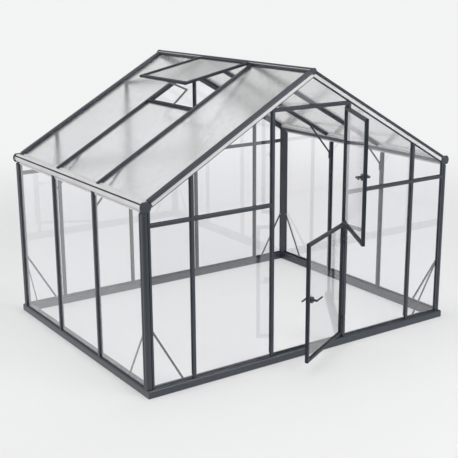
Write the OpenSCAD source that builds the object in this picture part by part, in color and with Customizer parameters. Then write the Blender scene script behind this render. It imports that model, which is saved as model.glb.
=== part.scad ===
// Glass greenhouse: aluminium glazing bars on a base sill, gable ends, a split door and a roof vent.
// X runs along the gable, Y runs from the door towards the back, Z is up.
// The origin is on the ground, under the middle of the front sill.

/* [Overall] */
// Width over the outer faces of the base sill
base_w = 2950; // [2800:10:3200]
// Depth over the outer faces of the base sill
base_d = 2290; // [2100:10:2700]
// Height of the gutter axis above the ground
eave_h = 1398; // [1300:1:1500]
// Height of the ridge line above the ground
ridge_h = 2216; // [2100:1:2400]

/* [Bays] */
// Distance between the door posts' centre lines
door_bay = 728; // [690:1:760]
// Distance of each gable mullion from the middle
mullion_x = 1072; // [1000:1:1130]
// Distance between the two middle bars of a side wall and of a roof slope
side_bay = 709; // [660:1:760]
// Drop of the gable transoms' centre line under the gutter axis
transom_drop = 136; // [125:1:220]
// Drop of the door header's centre line under the ridge line
header_drop = 250; // [246:1:300]

/* [Base sill] */
// Width of the sill, from its outer to its inner face
sill_w = 70; // [62:1:90]
// Height of the sill's top
sill_h = 60; // [50:1:80]
// Wall thickness of the sill
sill_t = 3; // [2:0.5:4]
// Radius of the sill's rounded outer edge
sill_nose = 14; // [8:1:16]
// Height of the lip behind the glass
lip_h = 16; // [10:1:20]
// Thickness of the lip behind the glass
lip_t = 5; // [3:0.5:7]

/* [Glazing bars and glass] */
// Width of a glazing bar
bar_w = 28; // [26:1:34]
// Depth of a glazing bar from its outer face to its inner edge
bar_depth = 40; // [34:1:48]
// Thickness of the bar's outer cap
cap_t = 12; // [9:0.5:14]
// Radius of the cap's outer edges
cap_r = 5; // [2:0.5:7]
// Thickness of the bar's web and stem
web_t = 8; // [6:0.5:9]
// Thickness of the bar's inner flange
flange_t = 4; // [3:0.5:5]
// Width of the bead along the stem's inner edge
bulb_w = 16; // [12:1:20]
// Thickness of the bead along the stem's inner edge
bulb_t = 5; // [4:0.5:7]
// Thickness of the glass
glass_t = 4; // [3:0.5:5]
// Depth that a pane reaches into its groove
bite = 8; // [6:0.5:8]
// Distance of the gable bars' outer faces from the sill's outer face
wall_inset = 20; // [16:1:24]
// Distance of the side bars' outer faces from the sill's outer face
side_inset = 3; // [1:0.5:8]
// Gap between a piece and its seat
seat = 0.3; // [0.2:0.05:0.5]

/* [Corner posts] */
// Width of a corner post on each wall
post_w = 58; // [52:1:64]
// Radius of the post's outer corner
post_r = 22; // [10:1:24]
// Width of the post's face beside the glass, on the inside
post_side = 9; // [8:0.5:12]
// Distance of the shadow groove from the post's edge
shade_set = 16; // [13:0.5:20]
// Width of the shadow groove
shade_w = 6; // [3:0.5:8]
// Depth of the shadow groove
shade_t = 6; // [3:0.5:7]

/* [Gutter] */
// Outer radius of the gutter
gutter_r = 33; // [31:0.5:36]
// Wall thickness of the gutter
gutter_t = 3; // [2:0.5:4]
// Distance of the gutter axis from the sill's outer face
gutter_inset = 30; // [27:1:33]
// Width of the slot that lets the rain in
slot_w = 11; // [8:1:14]
// Angle of the slot above level
slot_a = 36; // [30:1:45]
// Width of the ledge that carries the roof panes
ledge_w = 26; // [20:1:34]
// Height of the fin behind the wall glass
fin_h = 14; // [10:1:18]
// Radius of the gutter's end caps
cap_disc_r = 44; // [40:0.5:47]
// Depth of the end caps' flat lower edge under the gutter axis
cap_low = 34; // [33:0.5:37]
// Height of the end caps' flat upper edge over the gutter axis
cap_high = 38; // [34:0.5:39]
// Thickness of the end caps of gutter and ridge
end_cap_t = 14; // [10:1:18]
// Distance of the end caps' outer faces from the sill's outer face
end_inset = 16; // [14:1:19]

/* [Rakes and ridge] */
// Height of the roof bars' outer faces over the line from gutter axis to ridge line
roof_rise = 22; // [20:0.5:25]
// Width of the cover along the gable edge
rake_w = 60; // [54:1:64]
// Radius of the cover's round edges
rake_r = 12; // [11:0.5:14]
// Height of the cover's middle over the roof line
rake_rise = 13; // [12:0.5:15]
// Depth of the rake's lower edge under the roof line
rake_leg = 30; // [27:0.5:34]
// Depth of the groove's end under the roof line
rake_top = 12; // [10:0.5:14]
// Distance of the cover's middle behind the gable bars' outer faces
rake_set = 19; // [17:0.5:20]
// Thickness of the leg behind the gable glass
rake_lip = 7; // [5:0.5:9]
// Distance of the roof pane's slot end behind the cover's middle
rake_cover = 6; // [4:0.5:8]
// Radius of the ridge
ridge_r = 24; // [22:0.5:28]
// Height of the ridge's axis over the ridge line
ridge_up = 11; // [8:0.5:12]
// Radius of the ridge's end caps
ridge_cap_r = 27; // [26:0.5:31]

/* [Door] */
// Height of the split between the two leaves
split_h = 1022; // [900:1:1150]
// Gap round a leaf
leaf_gap = 6; // [5:0.5:9]
// Distance of a leaf's outer face behind the bars' outer faces
leaf_set = 1; // [0.5:0.5:2]
// Thickness of a leaf
leaf_t = 26; // [22:1:30]
// Width of a leaf's stiles and rails
stile_w = 24; // [22:1:34]
// Wall thickness of a leaf's hollow stiles and rails
leaf_wall = 2.5; // [2:0.5:3]
// Angle at which the lower leaf stands open
lower_open = 27.5; // [0:0.5:60]
// Angle at which the upper leaf stands open
upper_open = 61; // [0:0.5:90]
// Radius of a hinge knuckle
knuckle_r = 8; // [7:0.5:9]
// Radius of a hinge pin
pin_r = 4; // [3:0.5:5]
// Running clearance round a hinge pin
pin_gap = 0.05; // [0.02:0.01:0.1]
// Height of a hinge
hinge_h = 72; // [60:1:90]
// Distance of a hinge from the leaf's end
hinge_end = 90; // [60:1:140]
// Width of a hinge plate
plate_w = 24; // [18:1:26]
// Thickness of a hinge plate
plate_t = 3; // [2:0.5:4]
// Distance of a handle from its leaf's free edge
handle_set = 78; // [60:1:110]
// Length of the outer lever
lever_l = 95; // [60:1:110]
// Length of the inner lever
inner_lever_l = 64; // [40:1:66]
// Distance of the lever's axis from the glass
lever_out = 44; // [34:1:48]
// Radius of the lever
lever_r = 7; // [5:0.5:8]
// Radius of the handle's neck
neck_r = 9; // [7:0.5:11]
// Radius of the round pad on the glass
rose_r = 25; // [18:0.5:28]
// Thickness of the round pad
rose_t = 12; // [6:0.5:14]
// Radius of the pad's rounded rim
rim_r = 3; // [2:0.5:4]
// Height of the lower handle over its leaf's lower edge
lower_handle_h = 482; // [200:1:700]
// Height of the upper handle over its leaf's lower edge
upper_handle_h = 493; // [200:1:600]

/* [Vent] */
// Length of the vent from its hinge to its lower edge
vent_len = 620; // [500:5:700]
// Distance that the vent's sides lie over the middles of the roof bars
vent_side = 5; // [0:0.5:12]
// Distance that the shut vent lies over its sill
vent_lap = 5; // [3:0.5:12]
// Thickness of the vent's frame
vent_t = 20; // [16:0.5:24]
// Wall thickness of the vent's frame
vent_wall = 2; // [1.5:0.25:2.5]
// Gap between the vent's frame and the roof bars under it
vent_lift = 0.5; // [0.3:0.1:2]
// Width of the vent's frame bars
vent_bar = 28; // [24:1:34]
// Angle at which the vent stands open
vent_open = 18; // [5:1:35]
// Width of the stay's arms
stay_w = 15; // [11:0.5:18]
// Thickness of the stay's arms
stay_t = 6; // [4:0.5:8]
// Distance of the stay from the vent's middle, towards the door
stay_set = 70; // [0:5:150]
// Distance of the stay's elbow from its foot, up the slope
stay_reach = 163; // [120:1:190]
// Height of the stay's elbow over the roof bars
stay_rise = 34; // [20:1:50]

/* [Braces] */
// Width of the braces
brace_w = 16; // [12:0.5:20]
// Thickness of the braces
brace_t = 4; // [3:0.5:6]
// Distance that the round ends of struts reach past their sides
eye = 2; // [1:0.25:3]
// Height of a corner brace on its post, over the sill
brace_h = 450; // [300:5:500]
// Reach of a corner brace along the sill
brace_reach = 265; // [150:5:300]
// Drop of a knee brace under the gutter axis
knee_drop = 200; // [120:5:260]
// Length of a knee brace's foot along the side post
knee_foot = 50; // [30:1:80]
// Reach of a knee brace up the roof bar
knee_reach = 270; // [200:5:360]

/* [Hidden] */
$fn = 64;
far = 6000;
hx = base_w / 2;
y_front = -sill_w / 2;
y_mid = (base_d - sill_w) / 2;
groove = glass_t + 2 * seat;
wall_x = hx - side_inset;
wall_y = y_front + wall_inset;
pane_y = wall_y + cap_t + seat;
pane_x = wall_x - cap_t - seat;
pane_z = sill_h - bite;
pane_in = bar_w / 2 - bite;
lip_v = cap_t + groove;
inner_v = lip_v + lip_t;
transom_h = eave_h - transom_drop;
header_h = ridge_h - header_drop;
gutter_x = hx - gutter_inset;
pitch = atan((ridge_h - eave_h) / gutter_x);
slope_l = norm([gutter_x, ridge_h - eave_h]);
end_y = y_front + end_inset;
gutter_y = end_y + end_cap_t;
pane_n = roof_rise - cap_t - seat - glass_t;
slot_n = pane_n - seat;
ledge_t = flange_t;
pane_s = sqrt(gutter_r * gutter_r - slot_n * slot_n) + seat;
ledge_end = pane_s + ledge_w;
rake_y = wall_y + rake_set;
rake_slot_y = rake_y + rake_cover;
edge = 2;
gable_top = (rake_leg + rake_top) / 2;
rail_n = roof_rise - bar_depth;
ridge_s = ridge_up * sin(pitch);
ridge_n = ridge_up * cos(pitch);
side_y = [y_mid - side_bay / 2, y_mid + side_bay / 2];
fin_x = gutter_x - wall_x + lip_v;
fin_z = eave_h - gutter_r - fin_h;
tube_r = gutter_r - gutter_t / 2;
leaf_x = door_bay / 2 - bar_w / 2 - leaf_gap;
leaf_y = wall_y + leaf_set;
leaf_z0 = sill_h + lip_h + leaf_gap + edge;
leaf_z1 = header_h - bar_w / 2 - leaf_gap;
lower_z1 = split_h - leaf_gap / 2;
upper_z0 = split_h + leaf_gap / 2;
hinge_x = leaf_x + leaf_gap / 2;
hinge_y = wall_y - knuckle_r - seat;
stile_groove = bite + edge;
vent_w = side_bay + 2 * vent_side;
vent_n = roof_rise + vent_t / 2 + vent_lift;
vent_gap = ridge_r + vent_t / 2 + seat;
vent_s = slope_l + ridge_s - sqrt(vent_gap * vent_gap - pow(vent_n - ridge_n, 2));
vent_sill_s = vent_s - vent_len + vent_lap - bar_w / 2;

frame_color = [0.25, 0.27, 0.3];
glass_color = [0.85, 0.9, 0.92, 0.35];
roof_color = [0.8, 0.81, 0.82, 0.75];
pale_color = [0.82, 0.83, 0.83];
handle_color = [0.55, 0.53, 0.5];

// Height of the plane that lies n over the roof line, at x
function slope_z(x, n) = ridge_h - abs(x) * tan(pitch) + n / cos(pitch);

module to_back() translate([0, 2 * y_mid, 0]) mirror([0, 1, 0]) children();
module to_right() mirror([1, 0, 0]) children();

// Draws the left slope: X up the slope from the gutter axis, Y along the ridge, Z out of the roof
module on_slope() translate([-gutter_x, 0, eave_h]) rotate([0, -pitch, 0]) children();

// Everything that lies more than n over the roof line
module over_roof(n) {
    on_slope() translate([-far / 4, -far / 4, n]) cube([far, far, far / 4]);
    to_right() on_slope() translate([-far / 4, -far / 4, n]) cube([far, far, far / 4]);
}

module gutter_space(r) {
    translate([-gutter_x, -far / 4, eave_h]) rotate([-90, 0, 0]) cylinder(r = r, h = far);
}

module ridge_space(r) {
    translate([0, -far / 4, ridge_h + ridge_up]) rotate([-90, 0, 0]) cylinder(r = r, h = far);
}

// Rectangle with two round corners at y = 0
module round_front(w, d, r) {
    translate([r - w / 2, 0]) square([w - 2 * r, d]);
    translate([-w / 2, r]) square([w, d - r]);
    for (s = [-1, 1]) translate([s * (w / 2 - r), r]) circle(r);
}

// Outer part of a glazing bar: the cap that shows and the web between two panes
module bar_cap_2d() {
    round_front(bar_w, cap_t, cap_r);
    translate([-web_t / 2, 0]) square([web_t, cap_t + groove]);
}

// Whole section of a glazing bar, with its depth along y
module bar_2d() {
    bar_cap_2d();
    translate([-bar_w / 2, cap_t + groove]) square([bar_w, flange_t]);
    translate([-web_t / 2, cap_t + groove]) square([web_t, bar_depth - cap_t - groove]);
    translate([-bulb_w / 2, bar_depth - bulb_t]) square([bulb_w, bulb_t]);
}

// Glazing bar whose inner parts stop short of both ends
module bar(len, foot, head) {
    linear_extrude(len) bar_cap_2d();
    translate([0, 0, foot]) linear_extrude(len - foot - head) bar_2d();
}

// Flat strut between two points of a plane, with a round eye at both ends
module strut_2d(p, q, w) {
    a = atan2(q[1] - p[1], q[0] - p[0]);
    translate(p) rotate(a) translate([0, -w / 2]) square([norm(q - p), w]);
    translate(p) circle(w / 2 + eye);
    translate(q) circle(w / 2 + eye);
}

// Hollow base section: rounded outer edge, glazing groove and a lip behind the glass
module sill_2d(inset) {
    difference() {
        union() {
            square([sill_w, sill_h - sill_nose]);
            translate([sill_nose, 0]) square([sill_w - sill_nose, sill_h]);
            translate([sill_nose, sill_h - sill_nose]) circle(sill_nose);
            translate([inset + lip_v, sill_h - 1]) square([lip_t, lip_h + 1]);
        }
        translate([inset + cap_t, sill_h - bite - seat]) square([groove, bite + lip_h]);
        translate([sill_t, sill_t])
            square([sill_w - 2 * sill_t, sill_h - bite - seat - 2 * sill_t]);
    }
}

module sill_gable() {
    intersection() {
        difference() {
            translate([-hx, y_front, 0]) rotate([90, 0, 90]) linear_extrude(base_w) sill_2d(wall_inset);
            for (s = [-1, 1]) translate([s * hx, y_front, sill_h + far / 2])
                cube([2 * (side_inset + post_w), far, far], center = true);
        }
        linear_extrude(far) polygon([[-hx, y_front], [hx, y_front],
            [hx - sill_w, y_front + sill_w], [sill_w - hx, y_front + sill_w]]);
    }
}

module sill_side() {
    y1 = y_front + base_d;
    intersection() {
        difference() {
            translate([-hx, y1, 0]) rotate([90, 0, 0]) linear_extrude(base_d) sill_2d(side_inset);
            for (y = [y_front, y1]) translate([-hx, y, sill_h + far / 2])
                cube([far, 2 * (wall_inset + post_w), far], center = true);
        }
        linear_extrude(far) polygon([[-hx, y_front], [sill_w - hx, y_front + sill_w],
            [sill_w - hx, y1 - sill_w], [-hx, y1]]);
    }
}

// Section of a corner post: round outside, a groove on both walls and a slanted inner face
module post_2d() {
    side = cap_t + groove + post_side;
    difference() {
        union() {
            translate([post_r, 0]) square([post_w - post_r, side]);
            translate([0, post_r]) square([side, post_w - post_r]);
            translate([post_r, post_r]) circle(post_r);
            polygon([[post_r, side - 1], [side - 1, post_r], [post_w, side], [side, post_w]]);
        }
        translate([post_w - stile_groove, cap_t]) square([stile_groove + 1, groove]);
        translate([cap_t, post_w - stile_groove]) square([groove, stile_groove + 1]);
        translate([post_w - shade_set - shade_w, -1]) square([shade_w, shade_t + 1]);
        translate([-1, post_w - shade_set - shade_w]) square([shade_t + 1, shade_w]);
    }
}

// Room that the left sill takes under the side bars and corner posts
module side_sill_space() {
    z = sill_h - sill_nose;
    translate([sill_nose - hx, -far / 4, z - sill_nose]) cube([far, far, 2 * sill_nose]);
    translate([sill_nose - hx, -far / 4, z]) rotate([-90, 0, 0]) cylinder(r = sill_nose + seat, h = far);
}

module corner_post() {
    difference() {
        translate([-wall_x, wall_y, sill_h - sill_nose]) linear_extrude(eave_h) post_2d();
        side_sill_space();
        over_roof(-rake_leg - seat);
        gutter_space(gutter_r + seat);
        translate([-gutter_x - 2 * cap_disc_r, y_front, eave_h - cap_low - seat])
            cube([4 * cap_disc_r, gutter_y - y_front + seat, far]);
    }
}

module gable_bar(x) {
    difference() {
        translate([x, wall_y, sill_h]) bar(ridge_h, lip_h, 0);
        over_roof(-rake_leg - seat);
    }
}

module gable_rail(x0, x1, z) {
    translate([x0, wall_y, z]) rotate([0, 90, 0]) linear_extrude(x1 - x0) bar_2d();
}

module gable_transoms() {
    x0 = wall_x - post_w;
    x1 = mullion_x + bar_w / 2;
    x2 = mullion_x - bar_w / 2;
    x3 = door_bay / 2 + bar_w / 2;
    gable_rail(-x0, -x1, transom_h);
    gable_rail(-x2, -x3, transom_h);
    gable_rail(x1, x0, transom_h);
    gable_rail(x3, x2, transom_h);
}

module gable_header() {
    x = door_bay / 2 - bar_w / 2;
    difference() {
        gable_rail(-x, x, header_h);
        over_roof(-rake_leg - seat);
    }
}

module gable_pane(points) {
    translate([0, pane_y + glass_t, 0]) rotate([90, 0, 0]) linear_extrude(glass_t) polygon(points);
}

// Lower and upper pane of the bay between two uprights of the left half
module gable_bay(x0, x1) {
    low = transom_h - pane_in;
    high = transom_h + pane_in;
    gable_pane([[x0, pane_z], [x1, pane_z], [x1, low], [x0, low]]);
    gable_pane([[x0, high], [x1, high], [x1, slope_z(x1, -gable_top)], [x0, slope_z(x0, -gable_top)]]);
}

module gable_glass() {
    xp = wall_x - post_w + bite;
    for (s = [0, 1]) mirror([s, 0, 0]) {
        difference() {
            gable_bay(-xp, -mullion_x - pane_in);
            gutter_space(gutter_r + seat);
        }
        gable_bay(pane_in - mullion_x, -door_bay / 2 - pane_in);
    }
    x = door_bay / 2 - pane_in;
    gable_pane([[-x, header_h + pane_in], [x, header_h + pane_in], [x, slope_z(x, -gable_top)],
        [0, slope_z(0, -gable_top)], [-x, slope_z(x, -gable_top)]]);
}

module side_post(y) {
    difference() {
        translate([-wall_x, y, sill_h - sill_nose]) rotate([0, 0, -90])
            bar(eave_h - sill_h + sill_nose, sill_nose + lip_h, eave_h - fin_z + seat);
        side_sill_space();
        gutter_space(gutter_r + seat);
    }
}

module side_glass() {
    y0 = wall_y + post_w - bite;
    z1 = eave_h - gutter_r - seat;
    starts = [y0, side_y[0] + pane_in, side_y[1] + pane_in];
    ends = [side_y[0] - pane_in, side_y[1] - pane_in, 2 * y_mid - y0];
    for (i = [0:2]) translate([-pane_x, starts[i], pane_z])
        cube([glass_t, ends[i] - starts[i], z1 - pane_z]);
}

// Round gutter tube with a rain slot
module gutter_2d() {
    difference() {
        circle(gutter_r);
        circle(gutter_r - gutter_t);
        rotate(180 - slot_a) translate([0, -slot_w / 2]) square([2 * gutter_r, slot_w]);
    }
}

// Gutter with a ledge for the roof panes and a fin behind the wall glass
module gutter() {
    ledge_s = sqrt(tube_r * tube_r - pow(slot_n - ledge_t / 2, 2));
    fin_top = eave_h - sqrt(tube_r * tube_r - pow(fin_x + flange_t / 2, 2));
    y0 = rake_y + rake_w / 2 + seat;
    y1 = wall_y + post_w + seat;
    translate([-gutter_x, 2 * y_mid - gutter_y, eave_h]) rotate([90, 0, 0])
        linear_extrude(2 * (y_mid - gutter_y)) gutter_2d();
    on_slope() translate([ledge_s, y0, slot_n - ledge_t])
        cube([ledge_end - ledge_s, 2 * (y_mid - y0), ledge_t]);
    translate([fin_x - gutter_x, y1, fin_z]) cube([flange_t, 2 * (y_mid - y1), fin_top - fin_z]);
}

// Domed disc with a flat foot and head that closes the gutter's end
module gutter_cap() {
    intersection() {
        translate([-gutter_x, gutter_y - seat, eave_h]) rotate([90, 0, 0]) rotate_extrude() {
            square([cap_disc_r, end_cap_t / 2]);
            square([cap_disc_r - end_cap_t / 2, end_cap_t - seat]);
            intersection() {
                translate([cap_disc_r - end_cap_t / 2, end_cap_t / 2 - seat]) circle(end_cap_t / 2);
                square([cap_disc_r, end_cap_t]);
            }
        }
        translate([-gutter_x - cap_disc_r, y_front, eave_h - cap_low])
            cube([2 * cap_disc_r, sill_w, cap_low + cap_high]);
    }
}

module ridge_cap() {
    translate([0, gutter_y - seat, ridge_h + ridge_up]) rotate([90, 0, 0]) rotate(22.5)
        cylinder(r = ridge_cap_r, h = end_cap_t - seat, $fn = 8);
}

// Gable edge of the roof: a cover over two legs that hold the gable glass, with a slot for the roof pane
module rake_2d() {
    inner = wall_y + cap_t + groove;
    difference() {
        union() {
            for (s = [-1, 1]) translate([rake_y + s * (rake_w / 2 - rake_r), rake_rise]) circle(rake_r);
            translate([rake_y - rake_w / 2 + rake_r, rake_rise - rake_r])
                square([rake_w - 2 * rake_r, 2 * rake_r]);
            translate([wall_y, -rake_leg]) square([inner + rake_lip - wall_y, rake_leg + rake_rise]);
        }
        translate([wall_y + cap_t, -rake_leg - 1]) square([groove, rake_leg + 1 - rake_top]);
        translate([rake_slot_y, slot_n]) square([rake_w, groove]);
    }
}

module rake() {
    difference() {
        on_slope() translate([cap_disc_r + edge, 0, 0]) rotate([90, 0, 90])
            linear_extrude(slope_l) rake_2d();
        translate([-seat / 2, -far / 2, 0]) cube(far);
        ridge_space(ridge_cap_r + seat);
    }
}

// Ridge with a groove on each side for the top edges of the roof panes
module ridge_2d() {
    difference() {
        translate([0, ridge_h + ridge_up]) circle(ridge_r);
        for (s = [0, 1]) mirror([s, 0]) translate([0, ridge_h]) rotate(pitch)
            translate([-2 * ridge_r - stile_groove, slot_n]) square([2 * ridge_r, groove]);
    }
}

module roof_bar(y) {
    difference() {
        on_slope() translate([pane_s, y, roof_rise]) rotate([-90, 0, 0]) rotate([0, 90, 0])
            bar(slope_l - pane_s, ledge_w + seat, 0);
        ridge_space(ridge_r + seat);
        translate([-seat / 2, -far / 2, 0]) cube(far);
    }
}

module roof_pane(y0, y1, s1) {
    on_slope() translate([pane_s, y0, pane_n]) cube([s1 - pane_s, y1 - y0, glass_t]);
}

module roof_panes(mid_s) {
    s1 = slope_l - stile_groove - edge;
    y0 = rake_slot_y + edge;
    roof_pane(y0, side_y[0] - pane_in, s1);
    roof_pane(side_y[0] + pane_in, side_y[1] - pane_in, mid_s > 0 ? mid_s : s1);
    roof_pane(side_y[1] + pane_in, 2 * y_mid - y0, s1);
}

// Draws the vent: X is negative down the slope from the hinge, Z out of the vent
module on_vent() {
    on_slope() translate([vent_s, y_mid, vent_n]) rotate([0, vent_open, 0]) children();
}

// Hollow section of a leaf's stile: w along x with the groove at +x, t along y
module stile_2d(w, t, wall, deep) {
    r = wall;
    difference() {
        union() {
            translate([r, 0]) square([w - r, t]);
            translate([0, r]) square([w, t - 2 * r]);
            translate([r, r]) circle(r);
            translate([r, t - r]) circle(r);
        }
        translate([w - deep, (t - groove) / 2]) square([deep + 1, groove]);
        translate([wall, wall]) square([w - deep - 2 * wall, t - 2 * wall]);
    }
}

module vent_stile() {
    translate([-vent_len, -vent_w / 2, 0]) rotate([90, 0, 90])
        linear_extrude(vent_len - vent_t / 2 - edge) translate([0, -vent_t / 2])
            stile_2d(vent_bar, vent_t, vent_wall, stile_groove);
}

// Lower rail of the vent; the upper one has the round bead that turns beside the ridge
module vent_rail_pair() {
    l = vent_w - 2 * vent_bar;
    translate([-vent_len, l / 2, -vent_t / 2]) rotate([90, 0, 0])
        linear_extrude(l) stile_2d(vent_bar, vent_t, vent_wall, stile_groove);
    difference() {
        union() {
            translate([-vent_bar, -l / 2, -vent_t / 2]) cube([vent_bar, l, vent_t]);
            translate([0, l / 2, 0]) rotate([90, 0, 0]) cylinder(r = vent_t / 2, h = l);
        }
        translate([-vent_bar - 1, -l, -groove / 2]) cube([stile_groove + 1, 2 * l, groove]);
    }
}

// Places a leaf that is drawn shut
module on_hinge(a) {
    translate([hinge_x, hinge_y, 0]) rotate([0, 0, a]) translate([-hinge_x, -hinge_y, 0]) children();
}

module leaf_2d() stile_2d(stile_w, leaf_t, leaf_wall, stile_groove);

module leaf_stiles(z0, z1) {
    translate([-leaf_x, leaf_y, z0]) linear_extrude(z1 - z0) leaf_2d();
    translate([leaf_x, leaf_y, z0]) mirror([1, 0, 0]) linear_extrude(z1 - z0) leaf_2d();
}

module leaf_rails(z0, z1) {
    l = 2 * (leaf_x - stile_w);
    translate([l / 2, leaf_y, z0]) rotate([0, -90, 0]) linear_extrude(l) leaf_2d();
    translate([-l / 2, leaf_y, z1]) rotate([0, 90, 0]) linear_extrude(l) leaf_2d();
}

module leaf_glass(z0, z1) {
    i = stile_w - bite;
    translate([i - leaf_x, leaf_y + (leaf_t - glass_t) / 2, z0 + i])
        cube([2 * (leaf_x - i), glass_t, z1 - z0 - 2 * i]);
}

// The leaf's half of a hinge: one knuckle between the two of the post's half
module leaf_knuckle(z) {
    k = hinge_h / 3;
    translate([0, 0, z + k + seat]) difference() {
        union() {
            translate([hinge_x, hinge_y, 0]) cylinder(r = knuckle_r, h = k - 2 * seat);
            translate([hinge_x - plate_w, leaf_y - plate_t, 0]) cube([plate_w, plate_t, k - 2 * seat]);
        }
        translate([hinge_x, hinge_y, -1]) cylinder(r = pin_r + pin_gap, h = k + 2);
    }
}

// The post's half of a hinge: two knuckles, the pin and the plate on the door post
module post_knuckle(z) {
    k = hinge_h / 3;
    x0 = hinge_x + knuckle_r + 1;
    translate([0, 0, z]) {
        translate([hinge_x, hinge_y, 0]) cylinder(r = pin_r, h = hinge_h);
        for (i = [0, 2]) translate([0, 0, i * k]) {
            translate([hinge_x, hinge_y, 0]) cylinder(r = knuckle_r, h = k);
            translate([hinge_x, wall_y - plate_t, 0]) cube([plate_w, plate_t, k]);
        }
        translate([x0, wall_y - plate_t, 0]) cube([plate_w - knuckle_r - 1, plate_t, hinge_h]);
    }
}

module leaf_knuckles(z0, z1) {
    leaf_knuckle(z0 + hinge_end);
    leaf_knuckle(z1 - hinge_end - hinge_h);
}

// Lever handle on one face of a leaf's glass, drawn on the glass at y = 0 and standing out to -y
module lever(l) {
    rotate([90, 0, 0]) {
        rotate_extrude() {
            square([rose_r, rose_t - rim_r]);
            square([rose_r - rim_r, rose_t]);
            translate([rose_r - rim_r, rose_t - rim_r]) circle(rim_r);
        }
        cylinder(r = neck_r, h = lever_out);
        translate([0, 0, lever_out]) sphere(neck_r);
    }
    translate([0, -lever_out, 0]) rotate([0, 90, 0]) cylinder(r = lever_r, h = l);
    translate([l, -lever_out, 0]) sphere(lever_r);
}

// The outer lever points to the hinge and the inner one to the free edge
module leaf_handle(z) {
    y = leaf_y + leaf_t / 2;
    out = glass_t / 2 + seat;
    translate([handle_set - leaf_x, y - out, z]) lever(lever_l);
    translate([handle_set - leaf_x, y + out, z]) rotate([0, 0, 180]) lever(inner_lever_l);
}

module sill_front() color(frame_color) sill_gable();
module sill_back() color(frame_color) to_back() sill_gable();
module sill_left() color(frame_color) sill_side();
module sill_right() color(frame_color) to_right() sill_side();

module corner_posts() color(frame_color) {
    corner_post();
    to_right() corner_post();
    to_back() corner_post();
    to_back() to_right() corner_post();
}

module side_posts_left() color(frame_color) for (y = side_y) side_post(y);
module side_posts_right() color(frame_color) to_right() for (y = side_y) side_post(y);
module gutter_left() color(pale_color) gutter();
module gutter_right() color(pale_color) to_right() gutter();

module end_caps() color(frame_color) {
    gutter_cap();
    to_right() gutter_cap();
    to_back() gutter_cap();
    to_back() to_right() gutter_cap();
    ridge_cap();
    to_back() ridge_cap();
}

module ridge() color(frame_color) translate([0, 2 * y_mid - gutter_y, 0]) rotate([90, 0, 0])
    linear_extrude(2 * (y_mid - gutter_y)) ridge_2d();

module rakes_front() color(frame_color) {
    rake();
    to_right() rake();
}

module rakes_back() color(frame_color) to_back() {
    rake();
    to_right() rake();
}

module roof_bars_left() color(frame_color) for (y = side_y) roof_bar(y);
module roof_bars_right() color(frame_color) to_right() for (y = side_y) roof_bar(y);
module front_mullions() color(frame_color) for (s = [-1, 1]) gable_bar(s * mullion_x);
module door_posts() color(frame_color) for (s = [-1, 1]) gable_bar(s * door_bay / 2);
module door_header() color(frame_color) gable_header();
module front_transoms() color(frame_color) gable_transoms();
module back_mullions() color(frame_color) to_back() for (s = [-1, 1]) gable_bar(s * mullion_x);
module back_posts() color(frame_color) to_back() for (s = [-1, 1]) gable_bar(s * door_bay / 2);

module back_rails() color(frame_color) to_back() {
    x = door_bay / 2 - bar_w / 2;
    gable_transoms();
    gable_header();
    gable_rail(-x, x, transom_h);
}

module front_glass() color(glass_color) gable_glass();

module back_glass() color(glass_color) to_back() {
    x = door_bay / 2 - pane_in;
    gable_glass();
    low = transom_h - pane_in;
    high = transom_h + pane_in;
    top = header_h - pane_in;
    gable_pane([[-x, pane_z], [x, pane_z], [x, low], [-x, low]]);
    gable_pane([[-x, high], [x, high], [x, top], [-x, top]]);
}

module left_glass() color(glass_color) side_glass();
module right_glass() color(glass_color) to_right() side_glass();
module roof_glass_left() color(roof_color) roof_panes(vent_sill_s - pane_in);
module roof_glass_right() color(roof_color) to_right() roof_panes(0);

module vent_sill() color(frame_color) on_slope()
    translate([vent_sill_s, side_y[0] + bar_w / 2, roof_rise]) rotate([-90, 0, 0])
        linear_extrude(side_bay - bar_w) bar_2d();

module vent_stiles() color(frame_color) on_vent() {
    vent_stile();
    mirror([0, 1, 0]) vent_stile();
}

module vent_rails() color(frame_color) on_vent() vent_rail_pair();

module vent_glass() color(roof_color) on_vent() {
    i = vent_bar - bite;
    translate([i - vent_len, i - vent_w / 2, -glass_t / 2])
        cube([vent_len - 2 * i, vent_w - 2 * i, glass_t]);
}

// Folding stay between the vent's lower rail and its sill
module vent_stay() color(frame_color) on_slope() {
    rail = vent_len - vent_bar / 2;
    a = [vent_s - rail * cos(vent_open) - vent_t / 2 * sin(vent_open),
        vent_n + rail * sin(vent_open) - vent_t / 2 * cos(vent_open)];
    b = [vent_sill_s + stay_reach, roof_rise + stay_rise];
    c = [vent_sill_s, roof_rise];
    y = y_mid - stay_set + stay_t / 2;
    translate([0, y, 0]) rotate([90, 0, 0]) linear_extrude(stay_t) difference() {
        union() {
            strut_2d(a, b, stay_w);
            strut_2d(b, c, stay_w);
        }
        translate([c[0] - bar_w, c[1] - stay_w]) square([2 * bar_w, stay_w]);
        translate([vent_s, vent_n]) rotate(-vent_open) translate([-vent_len, -vent_t / 2])
            square([vent_len, 2 * vent_t]);
    }
}

// Flat brace in the corner of a wall, from the post's side face down to the sill
module corner_brace_2d() {
    h = brace_w * norm([brace_h, brace_reach]) / brace_reach;
    w = brace_w * norm([brace_h, brace_reach]) / brace_h;
    z = sill_h + brace_h;
    polygon([[0, z - h], [0, z], [brace_reach, sill_h], [brace_reach - w, sill_h]]);
}

module corner_brace_pair() {
    translate([post_w - wall_x, wall_y + inner_v + brace_t, 0]) rotate([90, 0, 0])
        linear_extrude(brace_t) corner_brace_2d();
    translate([inner_v - wall_x, wall_y + post_w, 0]) rotate([90, 0, 90])
        linear_extrude(brace_t) corner_brace_2d();
}

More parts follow.
